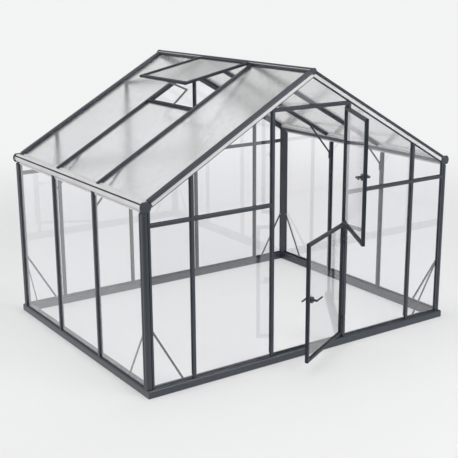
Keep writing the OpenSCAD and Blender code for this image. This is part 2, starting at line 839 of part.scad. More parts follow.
module corner_braces() color(frame_color) {
    corner_brace_pair();
    to_right() corner_brace_pair();
    to_back() corner_brace_pair();
    to_back() to_right() corner_brace_pair();
}

// Strut from a side post to its roof bar, on the side faces of their inner beads
module knee_brace(y) {
    n = rail_n + bulb_t / 2;
    p = [bar_depth - bulb_t / 2 - wall_x, eave_h - knee_drop];
    q = [knee_reach * cos(pitch) - n * sin(pitch) - gutter_x,
        eave_h + knee_reach * sin(pitch) + n * cos(pitch)];
    translate([0, y + bulb_w / 2 + brace_t, 0]) rotate([90, 0, 0]) linear_extrude(brace_t) {
        strut_2d(p, p + [0, knee_foot], brace_w);
        strut_2d(p + [0, knee_foot], q, brace_w);
    }
}

module knee_braces() color(frame_color) for (y = side_y) {
    knee_brace(y);
    to_right() knee_brace(y);
}

module hinge_brackets() color(frame_color) for (z = [leaf_z0 + hinge_end, lower_z1 - hinge_end - hinge_h,
    upper_z0 + hinge_end, leaf_z1 - hinge_end - hinge_h]) post_knuckle(z);

module lower_stiles() color(frame_color) on_hinge(lower_open) leaf_stiles(leaf_z0, lower_z1);
module lower_rails() color(frame_color) on_hinge(lower_open) leaf_rails(leaf_z0, lower_z1);
module lower_glass() color(glass_color) on_hinge(lower_open) leaf_glass(leaf_z0, lower_z1);
module lower_hinges() color(frame_color) on_hinge(lower_open) leaf_knuckles(leaf_z0, lower_z1);
module lower_handle() color(handle_color) on_hinge(lower_open) leaf_handle(leaf_z0 + lower_handle_h);
module upper_stiles() color(frame_color) on_hinge(upper_open) leaf_stiles(upper_z0, leaf_z1);
module upper_rails() color(frame_color) on_hinge(upper_open) leaf_rails(upper_z0, leaf_z1);
module upper_glass() color(glass_color) on_hinge(upper_open) leaf_glass(upper_z0, leaf_z1);
module upper_hinges() color(frame_color) on_hinge(upper_open) leaf_knuckles(upper_z0, leaf_z1);
module upper_handle() color(handle_color) on_hinge(upper_open) leaf_handle(upper_z0 + upper_handle_h);

sill_front();
sill_back();
sill_left();
sill_right();
corner_posts();
side_posts_left();
side_posts_right();
gutter_left();
gutter_right();
end_caps();
ridge();
rakes_front();
rakes_back();
roof_bars_left();
roof_bars_right();
front_mullions();
door_posts();
door_header();
front_transoms();
back_mullions();
back_posts();
back_rails();
front_glass();
back_glass();
left_glass();
right_glass();
roof_glass_left();
roof_glass_right();
vent_sill();
vent_stiles();
vent_rails();
vent_glass();
vent_stay();
corner_braces();
knee_braces();
hinge_brackets();
lower_stiles();
lower_rails();
lower_glass();
lower_hinges();
lower_handle();
upper_stiles();
upper_rails();
upper_glass();
upper_hinges();
upper_handle();
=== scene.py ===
"""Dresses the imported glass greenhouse: paint, glass, seals, trims and fasteners, on a plain stage."""

import math

import bmesh
import bpy
from bpy.props import FloatProperty, FloatVectorProperty, PointerProperty
from bpy.types import Operator, Panel, PropertyGroup
from mathutils import Matrix, Vector


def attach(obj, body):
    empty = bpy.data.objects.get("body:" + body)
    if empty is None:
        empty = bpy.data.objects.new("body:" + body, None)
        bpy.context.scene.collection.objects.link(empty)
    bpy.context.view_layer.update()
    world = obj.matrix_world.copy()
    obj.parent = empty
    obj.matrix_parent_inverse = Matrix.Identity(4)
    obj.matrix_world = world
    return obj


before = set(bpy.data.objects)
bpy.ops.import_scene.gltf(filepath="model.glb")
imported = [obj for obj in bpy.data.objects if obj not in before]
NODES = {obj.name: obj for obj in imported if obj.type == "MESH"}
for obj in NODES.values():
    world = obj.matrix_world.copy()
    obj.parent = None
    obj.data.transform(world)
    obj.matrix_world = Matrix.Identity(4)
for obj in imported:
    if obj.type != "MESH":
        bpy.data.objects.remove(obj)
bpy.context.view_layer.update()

bl_info = {
    "name": "Glass Greenhouse Dressing",
    "version": (1, 0, 0),
    "blender": (4, 5, 0),
    "location": "View3D > Sidebar > Greenhouse",
    "description": "Finishes, seals, trims and fasteners of a glass greenhouse",
    "category": "Object",
}

# Places on the construction, in metres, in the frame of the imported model
Y_MID = 1.110
WALL_X, WALL_Y = 1.472, -0.015
PANE_X, PANE_Y = 1.4597, -0.0027
SILL_TOP, GLASS_T = 0.060, 0.004
POST_W, BAR_W = 0.058, 0.028
MULLION_X, DOOR_X = 1.072, 0.364
SIDE_Y = (0.7555, 1.4645)
TRANSOM_Z, HEADER_Z = 1.262, 1.966
EAVE_Z, RIDGE_Z, GUTTER_X, GUTTER_R = 1.398, 2.216, 1.445, 0.033
PITCH = math.atan((RIDGE_Z - EAVE_Z) / GUTTER_X)
SLOPE_L = math.hypot(RIDGE_Z - EAVE_Z, GUTTER_X)
PANE_N, RAKE_LEG = 0.0097, 0.030
RIDGE_AXIS_Z, RIDGE_R = 2.227, 0.024
END_Y = -0.005
HINGE = Vector((0.347, -0.0233, 0.0))
LEAF_X, LEAF_Y, LEAF_T, STILE_W = 0.344, -0.014, 0.026, 0.024
# Leaves: body, rest angle in degrees, foot and top when shut
LEAVES = {
    "lower": ("lower_door", 27.5, 0.084, 1.019),
    "upper": ("upper_door", 61.0, 1.025, 1.946),
}
VENT_S, VENT_N, VENT_OPEN, VENT_LEN, VENT_W = 1.6404, 0.0325, 18.0, 0.620, 0.719
VENT_SILL_S, VENT_BAR = 1.0114, 0.028
ROOF_PANE_Y, ROOF_PANE_END, SIDE_PANE_PAST = 0.0345, 0.0245, 0.006

# Trims, fasteners and the ridge's painted highlight strips on their pieces: distances in metres, the lean of
# a highlight strip in degrees
STRIP_FOOT, STRIP_PAST, STRIP_N = 0.048, 0.020, -0.0115
# Grey strips on the ridge's flanks are painted highlights
HIGHLIGHT_LEAN, HIGHLIGHT_T, HIGHLIGHT_SHORT = 63.0, 0.0036, 0.006
BRACE_ENDS, BRACE_FACE = ((0.0089, 0.4791), (0.2465, 0.0757)), 0.0256
KNEE_SIDE, KNEE_FACE, KNEE_DROPS = 0.012, 0.0375, (0.200, 0.150)
KNEE_S, KNEE_N = 0.270, -0.0155
HINGE_END, HINGE_H, HINGE_T = 0.090, 0.072, 0.003
POST_SCREWS, LEAF_SCREW, LEAF_SCREW_X = (0.012, 0.060), 0.036, 0.329
STAY_PINS = ((1.0687, 0.1998), (1.1744, 0.056), (1.0273, 0.0276))
STAY_SIDE, STAY_HALF = 0.070, 0.003

# Lamps: name, place, size and power
LAMPS = (
    ("key", (-8.0, 1.5, 6.5), 5.0, 200),
    ("top", (0.5, 1.6, 8.5), 6.0, 160),
    ("fill", (3.5, -8.0, 5.0), 5.0, 480),
)
AIM_Z, FLOOR_R = 0.9, 16.0

# Camera: azimuth, elevation and roll in degrees, place, lens and sensor in millimetres
CAMERA_TURN, CAMERA_PLACE = (-34.2553, 15.0609, -0.3279), (-4.47204, -5.45921, 2.91495)
CAMERA_LENS, CAMERA_SENSOR = 74.14, 36.0

FRAME_NODES = (
    "sill_front", "sill_back", "sill_left", "sill_right", "corner_posts", "side_posts_left",
    "side_posts_right", "end_caps", "ridge", "rakes_front", "rakes_back", "roof_bars_left",
    "roof_bars_right", "front_mullions", "door_posts", "door_header", "front_transoms", "back_mullions",
    "back_posts", "back_rails", "corner_braces", "knee_braces", "hinge_brackets", "lower_hinges",
    "upper_hinges",
)
LEAF_NODES = (
    "lower_stiles", "lower_rails", "upper_stiles", "upper_rails", "vent_sill", "vent_stiles", "vent_rails",
)
CLEAR_NODES = ("front_glass", "back_glass", "left_glass", "right_glass")
LEAF_PANES = ("lower_glass", "upper_glass")
FROSTED_NODES = ("roof_glass_left", "roof_glass_right", "vent_glass")


class GreenhouseSizes(PropertyGroup):
    """Sizes of the trims and fasteners"""

    seal_w: FloatProperty(name="Seal Width", description="Width of the rubber seal round a pane",
                          default=0.004, min=0.001, unit="LENGTH")
    seal_h: FloatProperty(name="Seal Height", description="Height of the seal over the glass",
                          default=0.0015, min=0.0005, unit="LENGTH")
    strip_w: FloatProperty(name="Rake Strip Width", description="Width of the pale strip on the gable edges",
                           default=0.0245, min=0.004, unit="LENGTH")
    strip_h: FloatProperty(name="Rake Strip Height", description="Height of the strip over the rake's face",
                           default=0.002, min=0.0005, unit="LENGTH")
    # Width of each grey strip painted as a highlight along a flank of the ridge
    ridge_highlight_w: FloatProperty(name="Ridge Bead Width", description="Width of the pale bead along the ridge",
                          default=0.006, min=0.002, unit="LENGTH")
    bolt_d: FloatProperty(name="Bolt Width", description="Width of a bolt's head across its corners",
                          default=0.0105, min=0.004, unit="LENGTH")
    screw_d: FloatProperty(name="Screw Width", description="Width of a pan screw's head",
                           default=0.0075, min=0.003, unit="LENGTH")


class GreenhouseColours(PropertyGroup):
    """Colours of the finishes"""

    paint: FloatVectorProperty(name="Frame Paint", description="Powder coat of the frame", subtype="COLOR",
                               size=4, default=(0.031, 0.039, 0.053, 1), min=0, max=1)
    worn: FloatVectorProperty(name="Dusty Paint", description="Powder coat where dust lies on it",
                              subtype="COLOR", size=4, default=(0.055, 0.065, 0.078, 1), min=0, max=1)
    # Leaf paint: the frame's coat made darker as painted shade on the leaves' and vent's frames
    leaf: FloatVectorProperty(name="Leaf Paint", description="Powder coat of the leaves' and vent's frames",
                              subtype="COLOR", size=4, default=(0.020, 0.026, 0.037, 1), min=0, max=1)
    stay: FloatVectorProperty(name="Stay Paint", description="Coat of the vent's stay", subtype="COLOR",
                              size=4, default=(0.17, 0.17, 0.172, 1), min=0, max=1)
    pale: FloatVectorProperty(name="Pale Trim", description="Pale coat of gutters and trims", subtype="COLOR",
                              size=4, default=(0.70, 0.70, 0.705, 1), min=0, max=1)
    glass: FloatVectorProperty(name="Clear Glass", description="Tint of the wall glass", subtype="COLOR",
                               size=4, default=(0.965, 0.965, 0.98, 1), min=0, max=1)
    pane: FloatVectorProperty(name="Leaf Glass", description="Tint of the leaves' glass", subtype="COLOR",
                              size=4, default=(0.87, 0.87, 0.893, 1), min=0, max=1)
    roof: FloatVectorProperty(name="Frosted Glass", description="Tint of the roof glass", subtype="COLOR",
                              size=4, default=(0.99, 0.99, 0.985, 1), min=0, max=1)
    handle: FloatVectorProperty(name="Handle Metal", description="Satin metal of the handles",
                                subtype="COLOR", size=4, default=(0.085, 0.082, 0.080, 1), min=0, max=1)
    # Grey of the strips painted as highlights along the ridge
    ridge_highlight_grey: FloatVectorProperty(name="Ridge Bead", description="Coat of the beads along the ridge",
                              subtype="COLOR", size=4, default=(0.52, 0.525, 0.53, 1), min=0, max=1)
    floor: FloatVectorProperty(name="Floor", description="Pale floor and background", subtype="COLOR",
                               size=4, default=(0.895, 0.898, 0.902, 1), min=0, max=1)


def sizes():
    return bpy.context.scene.greenhouse_sizes


def colours():
    return bpy.context.scene.greenhouse_colours


# Placing

def slope_point(side, s, y, n):
    """Point on a roof slope: s up from the gutter axis, n out of the roof; side is -1 left or 1 right."""
    x = GUTTER_X - s * math.cos(PITCH) + n * math.sin(PITCH)
    return Vector((side * x, y, EAVE_Z + s * math.sin(PITCH) + n * math.cos(PITCH)))


def slope_z(x, n):
    """Height of the plane that lies n over the roof line, at x."""
    return RIDGE_Z - abs(x) * math.tan(PITCH) + n / math.cos(PITCH)


def axes(origin, u, v):
    """Matrix that puts a flat drawing with axes u and v at a place."""
    u, v = Vector(u).normalized(), Vector(v).normalized()
    return Matrix.Translation(origin) @ Matrix((u, v, u.cross(v))).transposed().to_4x4()


def opened(leaf):
    """Matrix that turns a leaf from shut to its rest angle."""
    return (Matrix.Translation(HINGE) @ Matrix.Rotation(math.radians(LEAVES[leaf][1]), 4, "Z")
            @ Matrix.Translation(-HINGE))


# Modelling by hand

def start_clean():
    if bpy.context.object and bpy.context.object.mode != "OBJECT":
        bpy.ops.object.mode_set(mode="OBJECT")
    bpy.ops.object.select_all(action="DESELECT")


def edit(piece):
    start_clean()
    piece.select_set(True)
    bpy.context.view_layer.objects.active = piece
    bpy.ops.object.mode_set(mode="EDIT")
    bpy.ops.mesh.select_all(action="SELECT")
    return bmesh.from_edit_mesh(piece.data)


def done():
    bpy.ops.object.mode_set(mode="OBJECT")


def settle(piece, place):
    """Moves a finished drawing to its place and writes that place into its mesh."""
    start_clean()
    piece.select_set(True)
    bpy.context.view_layer.objects.active = piece
    piece.matrix_world = place @ piece.matrix_world
    bpy.ops.object.transform_apply(location=True, rotation=True, scale=True)
    return piece


def block(size, place, soft):
    """Bar of a size with softened edges, drawn round the origin and put at its place."""
    start_clean()
    bpy.ops.mesh.primitive_cube_add(size=1)
    piece = bpy.context.object
    piece.scale = size
    bpy.ops.object.transform_apply(location=True, rotation=True, scale=True)
    edit(piece)
    bpy.ops.mesh.bevel(offset=soft, segments=2, affect="EDGES")
    done()
    return settle(piece, place)


def seal_ring(width, height, cuts, place, open_end=None):
    """Flat rubber ring inside a rectangle that stands on the origin, trimmed by slanted cuts.

    open_end is "low" or "high" where the pane runs free into a gutter and has no seal."""
    start_clean()
    bpy.ops.mesh.primitive_plane_add(size=1, location=(width / 2, height / 2, 0))
    piece = bpy.context.object
    piece.scale = (width, height, 1)
    bpy.ops.object.transform_apply(location=True, rotation=True, scale=True)
    edit(piece)
    for point, normal in cuts:
        bpy.ops.mesh.select_all(action="SELECT")
        bpy.ops.mesh.bisect(plane_co=(*point, 0), plane_no=(*normal, 0), clear_outer=True)
    bpy.ops.mesh.select_all(action="SELECT")
    bpy.ops.mesh.inset(thickness=sizes().seal_w)
    bpy.ops.mesh.delete(type="FACE")
    if open_end:
        mesh = bmesh.from_edit_mesh(piece.data)
        end = 0 if open_end == "low" else height
        for f in mesh.faces:
            f.select_set(abs(f.calc_center_median().y - end) < sizes().seal_w)
        bmesh.update_edit_mesh(piece.data)
        bpy.ops.mesh.delete(type="FACE")
    bpy.ops.mesh.select_all(action="SELECT")
    bpy.ops.mesh.extrude_region_move(TRANSFORM_OT_translate={"value": (0, 0, sizes().seal_h)})
    bpy.ops.mesh.select_all(action="SELECT")
    bpy.ops.mesh.normals_make_consistent(inside=False)
    mesh = bmesh.from_edit_mesh(piece.data)
    top = [e for e in mesh.edges if min(v.co.z for v in e.verts) > sizes().seal_h / 2
           and len({f for f in e.link_faces if abs(f.normal.z) > 0.5}) == 1]
    bpy.ops.mesh.select_all(action="DESELECT")
    for e in top:
        e.select_set(True)
    bmesh.update_edit_mesh(piece.data)
    bpy.ops.mesh.bevel(offset=sizes().seal_h * 0.4, segments=1, affect="EDGES")
    done()
    return settle(piece, place)


def join(pieces, name):
    start_clean()
    for p in pieces:
        p.select_set(True)
    bpy.context.view_layer.objects.active = pieces[0]
    if len(pieces) > 1:
        bpy.ops.object.join()
    piece = bpy.context.object
    piece.name = piece.data.name = name
    return piece


def copies(master, places, name):
    """One piece out of a copy of the master at each place."""
    made = []
    for place in places:
        copy = master.copy()
        copy.data = master.data.copy()
        bpy.context.collection.objects.link(copy)
        made.append(settle(copy, place))
    return join(made, name)


def finish(piece, material, body, angle=35):
    start_clean()
    piece.select_set(True)
    bpy.context.view_layer.objects.active = piece
    bpy.ops.object.shade_smooth_by_angle(angle=math.radians(angle))
    piece.data.materials.clear()
    piece.data.materials.append(material)
    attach(piece, body)
    return piece


def discard(piece):
    bpy.data.objects.remove(piece)


# Finishes

def link(tree, a, b):
    tree.links.new(a, b)


def node(tree, kind, at, **values):
    made = tree.nodes.new(kind)
    made.location = at
    for key, value in values.items():
        if key in made.inputs:
            made.inputs[key].default_value = value
        else:
            setattr(made, key, value)
    return made


def ramp(tree, at, value, start, end=(0.0, 1.0), smooth=False):
    """Maps a value from one span to another."""
    made = node(tree, "ShaderNodeMapRange", at, interpolation_type="SMOOTHSTEP" if smooth else "LINEAR")
    made.inputs["From Min"].default_value, made.inputs["From Max"].default_value = start
    made.inputs["To Min"].default_value, made.inputs["To Max"].default_value = end
    link(tree, value, made.inputs["Value"])
    return made.outputs["Result"]


def maths(tree, at, operation, *values, clamp=False):
    """Math node over sockets and plain numbers."""
    made = node(tree, "ShaderNodeMath", at, operation=operation, use_clamp=clamp)
    for socket, value in zip(made.inputs, values):
        if isinstance(value, bpy.types.NodeSocket):
            link(tree, value, socket)
        else:
            socket.default_value = value
    return made.outputs[0]


def mix_colour(tree, at, blend="MIX"):
    """Mix node for colours: its factor, both colours and its result."""
    made = tree.nodes.new("ShaderNodeMix")
    made.data_type, made.blend_type, made.location = "RGBA", blend, at
    return made.inputs[0], made.inputs[6], made.inputs[7], made.outputs[2]


def group(name, inputs, outputs):
    """Empty shader node group with its named sockets."""
    tree = bpy.data.node_groups.new(name, "ShaderNodeTree")
    for label, kind, default in inputs:
        socket = tree.interface.new_socket(label, in_out="INPUT", socket_type=kind)
        if default is not None:
            socket.default_value = default
    for label, kind in outputs:
        tree.interface.new_socket(label, in_out="OUTPUT", socket_type=kind)
    return tree, node(tree, "NodeGroupInput", (-900, 0)), node(tree, "NodeGroupOutput", (700, 0))


def powder_coat_group():
    """Powder coat: orange peel, slow tone changes and dust near the ground."""
    found = bpy.data.node_groups.get("Powder Coat")
    if found:
        return found
    tree, start, end = group("Powder Coat", (
        ("Vector", "NodeSocketVector", None), ("Coat", "NodeSocketColor", (0.1, 0.1, 0.1, 1)),
        ("Dust", "NodeSocketColor", (0.2, 0.2, 0.2, 1)), ("Peel Scale", "NodeSocketFloat", 900.0),
        ("Gloss", "NodeSocketFloat", 0.42)),
        (("Color", "NodeSocketColor"), ("Roughness", "NodeSocketFloat"), ("Height", "NodeSocketFloat")))
    peel = node(tree, "ShaderNodeTexNoise", (-650, 250), Detail=2.0, Roughness=0.55)
    link(tree, start.outputs["Vector"], peel.inputs["Vector"])
    link(tree, start.outputs["Peel Scale"], peel.inputs["Scale"])
    tone = node(tree, "ShaderNodeTexNoise", (-650, 0), Scale=3.5, Detail=4.0, Roughness=0.6)
    link(tree, start.outputs["Vector"], tone.inputs["Vector"])
    shade = ramp(tree, (-400, 0), tone.outputs["Fac"], (0.3, 0.7), (0.90, 1.08))
    fac, a, b, out = mix_colour(tree, (-150, 100), "MULTIPLY")
    fac.default_value = 1.0
    link(tree, start.outputs["Coat"], a)
    link(tree, shade, b)
    split = node(tree, "ShaderNodeSeparateXYZ", (-650, -250))
    link(tree, start.outputs["Vector"], split.inputs["Vector"])
    low = ramp(tree, (-400, -250), split.outputs["Z"], (0.0, 0.22), (0.30, 0.0), smooth=True)
    speck = node(tree, "ShaderNodeTexNoise", (-650, -450), Scale=45.0, Detail=5.0, Roughness=0.7)
    link(tree, start.outputs["Vector"], speck.inputs["Vector"])
    dusty = maths(tree, (-150, -250), "MULTIPLY", low, speck.outputs["Fac"])
    fac, a, b, coloured = mix_colour(tree, (150, 50))
    link(tree, dusty, fac)
    link(tree, out, a)
    link(tree, start.outputs["Dust"], b)
    link(tree, coloured, end.inputs["Color"])
    rough = maths(tree, (150, -200), "MULTIPLY_ADD", speck.outputs["Fac"], 0.16, start.outputs["Gloss"])
    link(tree, rough, end.inputs["Roughness"])
    link(tree, peel.outputs["Fac"], end.inputs["Height"])
    return tree


def glass_film_group():
    """Faint film on glass: rain streaks, dried drops and dust along the foot."""
    found = bpy.data.node_groups.get("Glass Film")
    if found:
        return found
    tree, start, end = group("Glass Film", (
        ("Vector", "NodeSocketVector", None), ("Clean", "NodeSocketColor", (0.9, 0.9, 0.9, 1)),
        ("Film", "NodeSocketColor", (0.8, 0.8, 0.8, 1)), ("Polish", "NodeSocketFloat", 0.0),
        ("Haze", "NodeSocketFloat", 0.04)),
        (("Color", "NodeSocketColor"), ("Roughness", "NodeSocketFloat"), ("Height", "NodeSocketFloat")))
    long = node(tree, "ShaderNodeMapping", (-650, 200))
    long.inputs["Scale"].default_value = (26.0, 26.0, 1.2)
    link(tree, start.outputs["Vector"], long.inputs["Vector"])
    streak = node(tree, "ShaderNodeTexNoise", (-400, 200), Scale=1.0, Detail=3.0, Roughness=0.6)
    link(tree, long.outputs["Vector"], streak.inputs["Vector"])
    drop = node(tree, "ShaderNodeTexVoronoi", (-400, -100), Scale=38.0)
    link(tree, start.outputs["Vector"], drop.inputs["Vector"])
    ring = ramp(tree, (-150, -100), drop.outputs["Distance"], (0.22, 0.12), smooth=True)
    soft = ramp(tree, (-150, 200), streak.outputs["Fac"], (0.45, 0.75), smooth=True)
    film = maths(tree, (80, 100), "MULTIPLY_ADD", ring, 0.25, soft, clamp=True)
    fac, a, b, out = mix_colour(tree, (300, 200))
    link(tree, film, fac)
    link(tree, start.outputs["Clean"], a)
    link(tree, start.outputs["Film"], b)
    link(tree, out, end.inputs["Color"])
    rough = maths(tree, (300, -50), "MULTIPLY_ADD", film, start.outputs["Haze"], start.outputs["Polish"])
    link(tree, rough, end.inputs["Roughness"])
    link(tree, streak.outputs["Fac"], end.inputs["Height"])
    return tree


def blank(name):
    """New material with its shader and Object coordinates."""
    made = bpy.data.materials.new(name)
    made.use_nodes = True
    tree = made.node_tree
    shader = tree.nodes["Principled BSDF"]
    where = node(tree, "ShaderNodeTexCoord", (-900, 0))
    return made, tree, shader, where.outputs["Object"]


def placed(tree, made, where, at=(-450, 0)):
    used = node(tree, "ShaderNodeGroup", at)
    used.node_tree = made
    link(tree, where, used.inputs["Vector"])
    return used


def bump(tree, shader, height, strength, distance):
    made = node(tree, "ShaderNodeBump", (-200, -300), Strength=strength, Distance=distance)
    link(tree, height, made.inputs["Height"])
    link(tree, made.outputs["Normal"], shader.inputs["Normal"])


def coat(name, colour, dust, gloss, ior=1.5, peel=900.0, strength=0.25):
    """Powder-coated metal."""
    found = bpy.data.materials.get(name)
    if found:
        return found
    made, tree, shader, where = blank(name)
    used = placed(tree, powder_coat_group(), where)
    used.inputs["Coat"].default_value = colour
    used.inputs["Dust"].default_value = dust
    used.inputs["Gloss"].default_value = gloss
    used.inputs["Peel Scale"].default_value = peel
    link(tree, used.outputs["Color"], shader.inputs["Base Color"])
    link(tree, used.outputs["Roughness"], shader.inputs["Roughness"])
    shader.inputs["IOR"].default_value = ior
    bump(tree, shader, used.outputs["Height"], strength, 0.0004)
    return made


def frame_paint():
    """Dark satin coat of the frame."""
    return coat("frame_paint", colours().paint, colours().worn, 0.26, ior=1.55)


def leaf_paint_shaded():
    """Duller coat of the leaves' and the vent's frames, darker than the frame's coat as painted shade."""
    return coat("leaf_paint_shaded", colours().leaf, colours().paint, 0.40, ior=1.36)


def stay_paint():
    """Grey coat of the vent's stay."""
    return coat("stay_paint", colours().stay, (0.10, 0.10, 0.10, 1), 0.36)


def trim_paint():
    """Pale coat of the rake strips."""
    return coat("trim_paint", colours().pale, (0.5, 0.5, 0.48, 1), 0.34)


def ridge_highlight_paint():
    """Grey colour of the strips painted as highlights along the ridge."""
    return coat("ridge_highlight_paint", colours().ridge_highlight_grey, (0.3, 0.3, 0.29, 1), 0.38)


def gutter_paint_and_shade():
    """Pale coat outside, and the frame's dark colour as painted shade on the side that looks into the
    greenhouse, below the top.
    """
    found = bpy.data.materials.get("gutter_paint_and_shade")
    if found:
        return found
    made, tree, shader, where = blank("gutter_paint_and_shade")
    split = node(tree, "ShaderNodeSeparateXYZ", (-900, -350))
    link(tree, where, split.inputs["Vector"])
    far = maths(tree, (-750, -350), "ABSOLUTE", split.outputs["X"])
    outer = ramp(tree, (-600, -350), far, (GUTTER_X - 0.0145, GUTTER_X - 0.0125))
    upper = ramp(tree, (-600, -600), split.outputs["Z"], (EAVE_Z + 0.004, EAVE_Z + 0.006))
    pale_unshaded = maths(tree, (-430, -450), "MAXIMUM", outer, upper)
    used = placed(tree, powder_coat_group(), where)
    used.inputs["Dust"].default_value = (0.42, 0.42, 0.40, 1)
    used.inputs["Gloss"].default_value = 0.34
    # Painted shade: the frame's dark colour where the gutter faces into the greenhouse below its top, pale
    # elsewhere
    fac, a, b, out = mix_colour(tree, (-650, 200))
    link(tree, pale_unshaded, fac)
    a.default_value, b.default_value = colours().paint, colours().pale
    link(tree, out, used.inputs["Coat"])
    link(tree, used.outputs["Color"], shader.inputs["Base Color"])
    link(tree, used.outputs["Roughness"], shader.inputs["Roughness"])
    shader.inputs["IOR"].default_value = 1.8
    bump(tree, shader, used.outputs["Height"], 0.2, 0.0004)
    return made


def pane_glass(name, clean, film, polish, haze, strength, ior):
    """Glass with its film, which lets most of the lamps' light and bounced light through."""
    found = bpy.data.materials.get(name)
    if found:
        return found
    made, tree, shader, where = blank(name)
    used = placed(tree, glass_film_group(), where)
    used.inputs["Clean"].default_value = clean
    used.inputs["Film"].default_value = film
    used.inputs["Polish"].default_value = polish
    used.inputs["Haze"].default_value = haze
    link(tree, used.outputs["Color"], shader.inputs["Base Color"])
    link(tree, used.outputs["Roughness"], shader.inputs["Roughness"])
    shader.inputs["Transmission Weight"].default_value = 1.0
    shader.inputs["IOR"].default_value = ior
    bump(tree, shader, used.outputs["Height"], strength, 0.0002)
    path = node(tree, "ShaderNodeLightPath", (-450, -500))
    rays = path.outputs["Is Shadow Ray"], path.outputs["Is Diffuse Ray"]
    passing = maths(tree, (-250, -500), "MAXIMUM", *rays)
    link(tree, maths(tree, (-80, -500), "MULTIPLY_ADD", passing, -0.9, 1.0), shader.inputs["Alpha"])
    return made


def clear_glass():
    return pane_glass("clear_glass", colours().glass, (0.975, 0.975, 0.988, 1), 0.0, 0.006, 0.002, 1.75)


def leaf_glass():
    return pane_glass("leaf_glass", colours().pane, (0.88, 0.88, 0.90, 1), 0.0, 0.006, 0.002, 1.6)


def roof_glass():
    return pane_glass("frosted_glass", colours().roof, (0.965, 0.965, 0.96, 1), 0.13, 0.04, 0.004, 1.5)


def handle_metal():
    """Satin metal with fine brush lines."""
    found = bpy.data.materials.get("handle_metal")
    if found:
        return found
    made, tree, shader, where = blank("handle_metal")
    along = node(tree, "ShaderNodeMapping", (-700, 0))
    along.inputs["Scale"].default_value = (60.0, 60.0, 1800.0)
    link(tree, where, along.inputs["Vector"])
    lines = node(tree, "ShaderNodeTexNoise", (-500, 0), Scale=1.0, Detail=3.0)
    link(tree, along.outputs["Vector"], lines.inputs["Vector"])
    fac, a, b, out = mix_colour(tree, (-250, 150))
    link(tree, lines.outputs["Fac"], fac)
    c = colours().handle
    a.default_value, b.default_value = ([min(v * k, 1) for v in c[:3]] + [1] for k in (0.8, 1.2))
    link(tree, out, shader.inputs["Base Color"])
    rough = ramp(tree, (-250, -100), lines.outputs["Fac"], (0.0, 1.0), (0.28, 0.46))
    link(tree, rough, shader.inputs["Roughness"])
    shader.inputs["Metallic"].default_value = 0.5
    bump(tree, shader, lines.outputs["Fac"], 0.08, 0.0002)
    return made


def bolt_zinc():
    """Zinc with its spangle."""
    found = bpy.data.materials.get("bolt_zinc")
    if found:
        return found
    made, tree, shader, where = blank("bolt_zinc")
    cells = node(tree, "ShaderNodeTexVoronoi", (-600, 0), Scale=420.0)
    link(tree, where, cells.inputs["Vector"])
    fac, a, b, out = mix_colour(tree, (-250, 150))
    link(tree, cells.outputs["Color"], fac)
    a.default_value, b.default_value = (0.36, 0.37, 0.38, 1), (0.58, 0.59, 0.60, 1)
    link(tree, out, shader.inputs["Base Color"])
    rough = ramp(tree, (-250, -100), cells.outputs["Distance"], (0.0, 1.0), (0.30, 0.48))
    link(tree, rough, shader.inputs["Roughness"])
    shader.inputs["Metallic"].default_value = 0.9
    bump(tree, shader, cells.outputs["Distance"], 0.1, 0.0002)
    return made


def seal_rubber():
    """Matt rubber with a fine tooth."""
    found = bpy.data.materials.get("seal_rubber")
    if found:
        return found
    made, tree, shader, where = blank("seal_rubber")
    tooth = node(tree, "ShaderNodeTexNoise", (-600, 0), Scale=700.0, Detail=3.0)
    link(tree, where, tooth.inputs["Vector"])
    fac, a, b, out = mix_colour(tree, (-250, 150))
    link(tree, tooth.outputs["Fac"], fac)
    a.default_value, b.default_value = (0.035, 0.036, 0.038, 1), (0.075, 0.076, 0.078, 1)
    link(tree, out, shader.inputs["Base Color"])
    rough = ramp(tree, (-250, -100), tooth.outputs["Fac"], (0.0, 1.0), (0.6, 0.85))
    link(tree, rough, shader.inputs["Roughness"])
    bump(tree, shader, tooth.outputs["Fac"], 0.2, 0.0003)
    return made


def give(names, material):
    """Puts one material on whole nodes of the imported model."""
    for name in names:
        mesh = NODES[name].data
        if not mesh.materials:
            mesh.materials.append(material)
        for i in range(len(mesh.materials)):
            mesh.materials[i] = material


class GREENHOUSE_OT_coat_frame(Operator):
    """Gives the bars, posts, sills and leaves their powder coat, darker on the leaves and vent as painted
    shade
    """
    bl_idname = "greenhouse.coat_frame"
    bl_label = "Coat Frame"

    def execute(self, context):
        give(FRAME_NODES, frame_paint())
        give(LEAF_NODES, leaf_paint_shaded())
        give(("vent_stay",), stay_paint())
        return {"FINISHED"}


class GREENHOUSE_OT_coat_gutters(Operator):
    """Gives both gutters their pale coat, with painted shade on the side that looks into the greenhouse"""
    bl_idname = "greenhouse.coat_gutters"
    bl_label = "Coat Gutters"

    def execute(self, context):
        give(("gutter_left", "gutter_right"), gutter_paint_and_shade())
        return {"FINISHED"}


class GREENHOUSE_OT_glaze(Operator):
    """Gives the walls and leaves clear glass and the roof frosted glass"""
    bl_idname = "greenhouse.glaze"
    bl_label = "Glaze"

    def execute(self, context):
        give(CLEAR_NODES, clear_glass())
        give(LEAF_PANES, leaf_glass())
        give(FROSTED_NODES, roof_glass())
        return {"FINISHED"}


class GREENHOUSE_OT_handles(Operator):
    """Gives the lever handles their satin metal"""
    bl_idname = "greenhouse.handles"
    bl_label = "Handles"

    def execute(self, context):
        give(("lower_handle", "upper_handle"), handle_metal())
        return {"FINISHED"}


